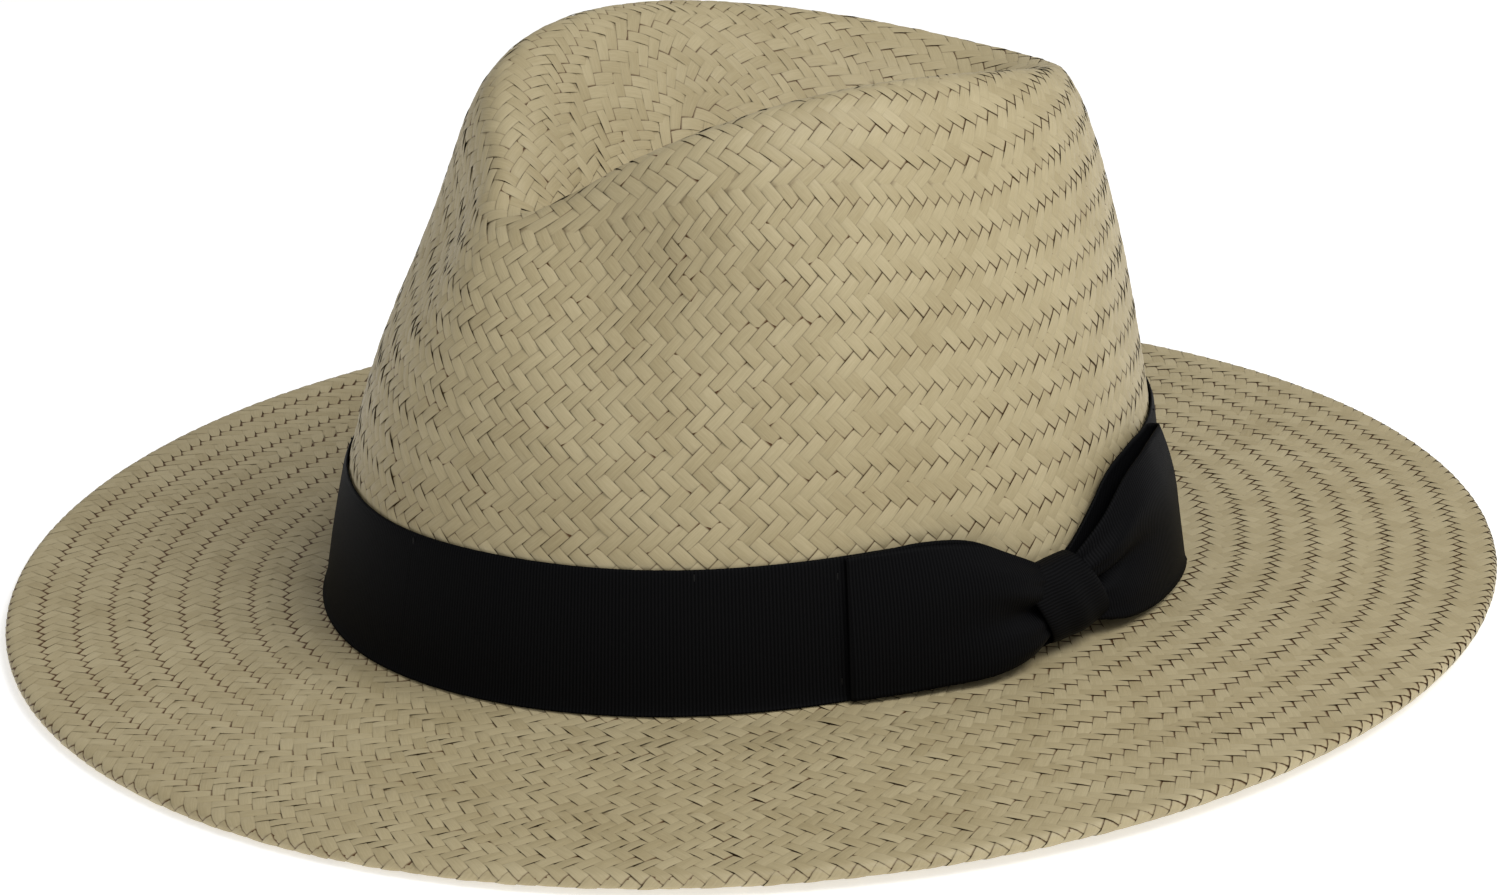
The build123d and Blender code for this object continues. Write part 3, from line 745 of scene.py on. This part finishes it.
brim_inner = weave("brim_inner_straw", brim_top, BRIM_WEAVE, (0.0, HALF_BRIM), 11, straw, brim_gather)
brim_edge = weave("brim_edge_straw", brim_top, BRIM_WEAVE, (HALF_BRIM, 1.0), 11, straw, brim_gather)
brim_below = weave("brim_under_straw", brim_under, BRIM_WEAVE, (0.0, 1.0), 15, straw_inside, brim_gather,
                   COARSE)
brim_layers = under_straw(brim_top, 260), under_straw(brim_under, 120)
# painted shade: a dark shell under the brim's straw, seen through its slits
brim_shade_backing = closed_ring("brim_shade_backing", np.concatenate(brim_layers, axis=1), shade_backing)
for obj in (brim_inner, brim_below):
    place(obj, "straw", "brim")
for obj in (brim_edge, brim_shade_backing):
    place(obj, "straw", "brim", "brim_hem")


# ---------------------------------------------------------------- ribbon
RIB_RELIEF = 0.07           # height of the grosgrain's ribs
RIBBON = 0.6                # thickness of the band
FOLDED_RIBBON = 0.5         # thickness of the bow's and the knot's ribbon
BAND_STAND = 0.75           # ribbon's inner face over the crown's nominal surface
BAND_GIRTH_SHARE = 0.05     # where on the way up the crown the ribbon's length is taken


def band_high(angle):
    """Upper edge of the band, drawn down where the knot gathers it."""
    return BAND_HIGH - BAND_GATHER * np.exp(-((folded(angle - KNOT_ANGLE) / GATHER_SPREAD) ** 2))


def hat_band():
    """One ribbon round the crown, ribbed across its length, its lower edge eased over the bend."""
    girth = crown_out.girth(BAND_GIRTH_SHARE)
    ribs = round(girth / RIB_PITCH)
    angle = np.arange(ribs * 4) / (ribs * 4) * FULL_TURN
    ridge = np.tile([0.0, 0.7, 1.0, 0.7], ribs) * RIB_RELIEF
    share = np.array([0.0, 0.012, 0.04, 0.12, 0.25, 0.4, 0.55, 0.7, 0.85, 0.95, 0.988, 1.0])
    wave = 0.25 * np.sin(np.radians(angle * 3 + 20)) + 0.15 * np.sin(np.radians(angle * 7))
    low, high = BAND_LOW - 0.2 + 0.3 * wave, band_high(angle) + wave
    height = low[:, None] + (high - low)[:, None] * share[None, :]
    edge = np.minimum(1.0, np.minimum(share, 1 - share) / 0.03)
    ease = bend_reach(height) + 0.25 * np.exp(-((height - BAND_LOW) / 3.0) ** 2)
    thickness = RIBBON * (0.5 + 0.5 * edge)[None, :] + ridge[:, None] * edge[None, :]
    outer_stand = BAND_STAND + ease + thickness
    outer = wall_point(angle[:, None], height, outer_stand)
    inner = wall_point(angle[:, None], height, BAND_STAND + ease)
    inner_rows = [-1, 6, 3, 0]
    loop = np.concatenate([outer, inner[:, inner_rows]], axis=1)
    along = ((np.arange(ribs * 4) - 1) / 4 * RIB_PITCH)[:, None] + 0 * loop[..., 0]
    strand = np.stack([along, 0 * along, 0 * along], -1)
    return closed_ring("hat_band_ribbon", loop, ribbon, strand=strand), girth


band, band_girth = hat_band()
place(band, "ribbon", "hat_band")


def ribbon_sheet(name, centre, thickness, material):
    """Closed ribbon from a grid of points at its middle: rows run along it, columns across."""
    along_way = np.gradient(centre, axis=0)
    across_way = np.gradient(centre, axis=1)
    normal = unit(np.cross(along_way, across_way))
    front, rear = centre + normal * thickness / 2, centre - normal * thickness / 2
    loop = np.concatenate([front, rear[:, ::-1]], axis=1)
    rows, columns = loop.shape[:2]
    faces = grid_faces(rows, columns, close_columns=True)
    caps = []
    half = columns // 2
    for row in (0, rows - 1):
        base = row * columns
        for c in range(half - 1):
            quad = [base + c, base + c + 1, base + columns - 2 - c, base + columns - 1 - c]
            caps.append(quad if row else quad[::-1])
    faces = np.concatenate([faces, np.array(caps)])
    steps = np.linalg.norm(np.diff(centre[:, columns // 4], axis=0), axis=-1)
    along = np.concatenate([[0], np.cumsum(steps)])[:, None] + 0 * loop[..., 0]
    return to_mesh(name, loop, faces, material, strand=np.stack([along, 0 * along, 0 * along], -1))


BOW_BASE = BAND_STAND + RIBBON + 0.35       # where the bow's own stand is counted from
MM_PER_DEGREE = 1.75        # length of a degree along the wall beside the bow
LOOP_START = 3.0            # where a loop comes out of the knot
BACK_STAND = 0.3            # a loop's rear layer over the band
# rows of a loop: degrees from the knot, lower edge, upper edge, fullness
FRONT_LOOP = ((3.0, 9.8, 24.6, 4.5), (8.0, 8.4, 29.6, 8.2), (13.0, 7.2, 34.2, 8.6),
              (20.0, 6.4, 36.8, 5.6), (27.0, 5.9, 36.9, 2.6), (31.0, 5.8, 36.8, 1.3))
REAR_LOOP = ((3.0, 9.6, 24.2, 4.5), (8.0, 7.6, 30.0, 7.6), (13.0, 6.6, 35.6, 8.4),
             (20.0, 6.0, 38.2, 8.0), (26.0, 5.8, 38.4, 6.8), (31.0, 5.8, 38.0, 5.6))


def through(x, rows, column):
    """Smooth curve through one column of a loop's rows."""
    xs, ys = np.array(rows)[:, 0], np.array(rows)[:, column]
    slope = np.gradient(ys, xs)
    k = np.clip(np.searchsorted(xs, x) - 1, 0, len(xs) - 2)
    width = xs[k + 1] - xs[k]
    s = np.clip((x - xs[k]) / width, 0, 1)
    return ((1 + 2 * s) * (1 - s) ** 2 * ys[k] + s * (1 - s) ** 2 * width * slope[k]
            + s * s * (3 - 2 * s) * ys[k + 1] + s * s * (s - 1) * width * slope[k + 1])


def bow_loop(name, side, rows, edge_share, seed):
    """A loop of ribbon: out from the knot, round a fold and back against the band.
    edge_share gives the fullness kept at the upper and the lower edge."""
    t = np.linspace(-1, 1, 34)[None, :]
    end_stand = through(rows[-1][0], rows, 3)
    radius = (end_stand - BACK_STAND) / 2 / MM_PER_DEGREE
    last = rows[-1][0] - radius
    front = np.linspace(LOOP_START, last, 150)[:, None]
    turn = np.linspace(90, -90, 24)[1:-1, None]
    back = np.linspace(last, LOOP_START, 60)[:, None]
    kept = np.where(t > 0, 1 - (1 - edge_share[0]) * t**2, 1 - (1 - edge_share[1]) * t**2)

    def face(offset):
        share = (offset - LOOP_START) / (rows[-1][0] - LOOP_START)
        full = through(offset, rows, 3) * kept
        hollow = 4.6 * np.exp(-((t + 0.12) / (0.10 + 0.55 * share)) ** 2) * np.exp(-(share / 0.38) ** 2)
        pleats = 0.45 * np.cos(t * 9.5 + seed) + 0.25 * np.cos(t * 17 + 2 * seed)
        ripple = 0.3 * np.sin(share * 9 + seed + 2 * t) * share
        stand = full - hollow + pleats * np.exp(-(share / 0.3) ** 2) + ripple
        return np.maximum(stand, BACK_STAND + 0.7 - 0.3 * share)

    rim = face(np.full((1, 1), last))
    rounded = BACK_STAND + (rim - BACK_STAND) * (0.5 + 0.5 * np.sin(np.radians(turn)))
    bulge = last + (rim - BACK_STAND) / 2 / MM_PER_DEGREE * np.cos(np.radians(turn))
    offset = np.concatenate([front + 0 * t, bulge, back + 0 * t])
    stand = np.concatenate([face(front), rounded, BACK_STAND + 0 * back * t])
    shown = np.clip(offset, LOOP_START, rows[-1][0])
    low, high = through(shown, rows, 1), through(shown, rows, 2)
    height = low + (t + 1) / 2 * (high - low)
    angle = KNOT_ANGLE + side * offset
    centre = wall_point(angle, height, BOW_BASE + stand + bend_reach(height) * 0.6)
    return ribbon_sheet(name, centre, FOLDED_RIBBON, ribbon)


front_loop = bow_loop("bow_front_ribbon", -1, FRONT_LOOP, (0.45, 0.95), 0.7)
place(front_loop, "ribbon", "bow_front_loop")
rear_loop = bow_loop("bow_rear_ribbon", 1, REAR_LOOP, (0.55, 1.1), 2.1)
place(rear_loop, "ribbon", "bow_rear_loop")


KNOT_HEIGHT, KNOT_HALF_LENGTH = 16.2, 8.6
KNOT_STAND = 7.2            # how far the knot stands out over its ends
KNOT_SHIFT, KNOT_HALF_WIDTH, KNOT_SLANT = 0.6, 5.3, 2.1     # in degrees round the hat


def bow_knot():
    """Short ribbon wrapped over the middle of the bow and tucked behind it."""
    turn = np.linspace(-97, 97, 90)[:, None]
    w = np.linspace(-1, 1, 24)[None, :]
    up, out = np.sin(np.radians(turn)), np.clip(np.cos(np.radians(turn)), 0, 1) ** 0.55
    height = KNOT_HEIGHT + (KNOT_HALF_LENGTH - 0.5 * w**2) * up + 0.5 * w
    stand = 0.4 + (KNOT_STAND - 0.8 * w**2 + 0.2 * np.cos(w * 7)) * out * (1 - 0.2 * up)
    angle = KNOT_ANGLE - KNOT_SHIFT + KNOT_HALF_WIDTH * w * (0.9 + 0.1 * out) - KNOT_SLANT * up
    centre = wall_point(angle, height, BOW_BASE + stand)
    return ribbon_sheet("bow_knot_ribbon", centre, FOLDED_RIBBON, ribbon)


knot = place(bow_knot(), "ribbon", "bow_knot")


# ---------------------------------------------------------------- sweatband and labels
SWEAT_FACE, SWEAT_BACK = MAT + 1.25, MAT + 0.5      # how far the tape's faces lie inside the crown
LABEL_THICKNESS = 0.22


def sweatband():
    """Soft tape inside the head line, a little thinner along its edges."""
    angle = DEGREES[:, None]
    share = np.array([0.0, 0.02, 0.06, 0.3, 0.5, 0.7, 0.9, 0.94, 0.98, 1.0])
    height = SWEAT_LOW + (SWEAT_HIGH - SWEAT_LOW) * share
    thinned = np.array([0.15, 0.0, 0.0, 0.0, 0.0, 0.0, 0.0, 0.12, 0.12, 0.3])
    wave = 0.12 * np.sin(np.radians(angle * 9))
    inner = wall_point(angle, height[None, :], thinned[None, :] + wave - SWEAT_FACE)
    outer = wall_point(angle, height[None, :], -SWEAT_BACK)
    loop = np.concatenate([inner, outer[:, ::-1]], axis=1)
    return closed_ring("sweatband_tape", loop, sweat_cloth)


sweat = place(sweatband(), "sweatband", "sweatband")


def label(name, node, width, height, curl):
    """A woven tape that hangs from its stitched upper edge, a little curled."""
    low, high = (np.array(corner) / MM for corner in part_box(node))
    centre = (low + high) / 2
    joint = next(j for j in frame["joints"] if j["child"] == node)
    level = np.array(joint["axis"])
    inward = np.cross(level, (0, 0, -1))
    v = np.linspace(0, 1, 24)[:, None]
    u = np.linspace(-0.5, 0.5, 16)[None, :]
    bow = curl * np.sin(v * np.pi) * 0.5 + 0.12 * curl * np.cos(u * 9) * v
    top = np.array([centre[0], centre[1], high[2]])
    grid = (top + level * (u * width)[..., None] * np.ones_like(v)[..., None]
            + np.array((0, 0, -1.0)) * (v * height)[..., None] * np.ones_like(u)[..., None]
            + inward * bow[..., None])
    return place(ribbon_sheet(name, grid, LABEL_THICKNESS, label_cloth), "label", node, body=node)


size_label = label("size_label_tape", "size_label", 18.0, 20.0, 0.5)
care_label = label("care_label_tape", "care_label", 26.0, 27.0, 0.8)


# ---------------------------------------------------------------- threads and wire, shaped as in CAD
def give(node, material):
    """Gives a CAD node its material."""
    obj = frame["nodes"][node]
    for slot in obj.material_slots:
        slot.material = material


for node in ("hem_stitches", "sweatband_stitches", "sweatband_seam"):
    give(node, straw_thread)
for node in ("band_tacks", "bow_tacks"):
    give(node, ribbon_thread)
wire = cloth_material("hem_wire", (0.5, 0.5, 0.5, 1), (0.3, 0.3, 0.3, 1), 3000.0, 0.35, 0.00002)
give("hem_wire", wire)

# ---------------------------------------------------------------- floor, light and camera
floor_material, _, _, floor_shader = new_material("floor")
floor_shader.inputs["Base Color"].default_value = (0.82, 0.82, 0.82, 1)
floor_shader.inputs["Emission Color"].default_value = (1, 1, 1, 1)
floor_shader.inputs["Emission Strength"].default_value = 0.52
floor_shader.inputs["Roughness"].default_value = 0.9
FLOOR_SIZE, FLOOR_DROP = 8.0, 0.0008        # the floor lies just under the hat
bpy.ops.mesh.primitive_plane_add(size=FLOOR_SIZE, location=(0, 0, -FLOOR_DROP))
floor = bpy.context.object
floor.name = "floor"
floor.data.materials.append(floor_material)

world = bpy.data.worlds.new("studio")
world.use_nodes = True
world.node_tree.nodes["Background"].inputs[0].default_value = (1, 1, 1, 1)
world.node_tree.nodes["Background"].inputs[1].default_value = 0.325
bpy.context.scene.world = world


def soft_light(name, azimuth, elevation, distance, size, power):
    """Square soft box aimed at the hat; azimuth as for the views, 0 in front."""
    a, e = radians(azimuth), radians(elevation)
    away = Vector((sin(a) * cos(e), -cos(a) * cos(e), sin(e)))
    data = bpy.data.lights.new(name, "AREA")
    data.shape, data.size, data.energy = "SQUARE", size, power
    lamp = bpy.data.objects.new(name, data)
    lamp.location = away * distance + Vector((0, 0, 0.06))
    lamp.rotation_euler = away.to_track_quat("Z", "Y").to_euler()
    bpy.context.scene.collection.objects.link(lamp)


soft_light("key", 110, 57, 1.6, 1.0, 15.6)
soft_light("fill", 60, 40, 2.0, 1.6, 5)

VIEW_AZIMUTH, VIEW_ELEVATION, VIEW_ROLL = 47.68, 20.66, -1.11
VIEW_DISTANCE = 0.9956
VIEW_TARGET = Vector((-0.0005, -0.0016, 0.0296))
SENSOR, LENS = 36.0, 102.86

camera_data = bpy.data.cameras.new("camera")
camera_data.sensor_width = SENSOR
camera_data.lens = LENS
camera = bpy.data.objects.new("camera", camera_data)
bpy.context.scene.collection.objects.link(camera)
az, el = radians(VIEW_AZIMUTH), radians(VIEW_ELEVATION)
backward = Vector((sin(az) * cos(el), -cos(az) * cos(el), sin(el)))
rightward = Vector((cos(az), sin(az), 0))
upward = backward.cross(rightward)
roll = Matrix.Rotation(radians(VIEW_ROLL), 3, "Z")
facing = Matrix((rightward, upward, backward)).transposed() @ roll
camera.matrix_world = Matrix.Translation(VIEW_TARGET + backward * VIEW_DISTANCE) @ facing.to_4x4()
bpy.context.scene.camera = camera
bpy.context.scene.view_settings.view_transform = "Standard"
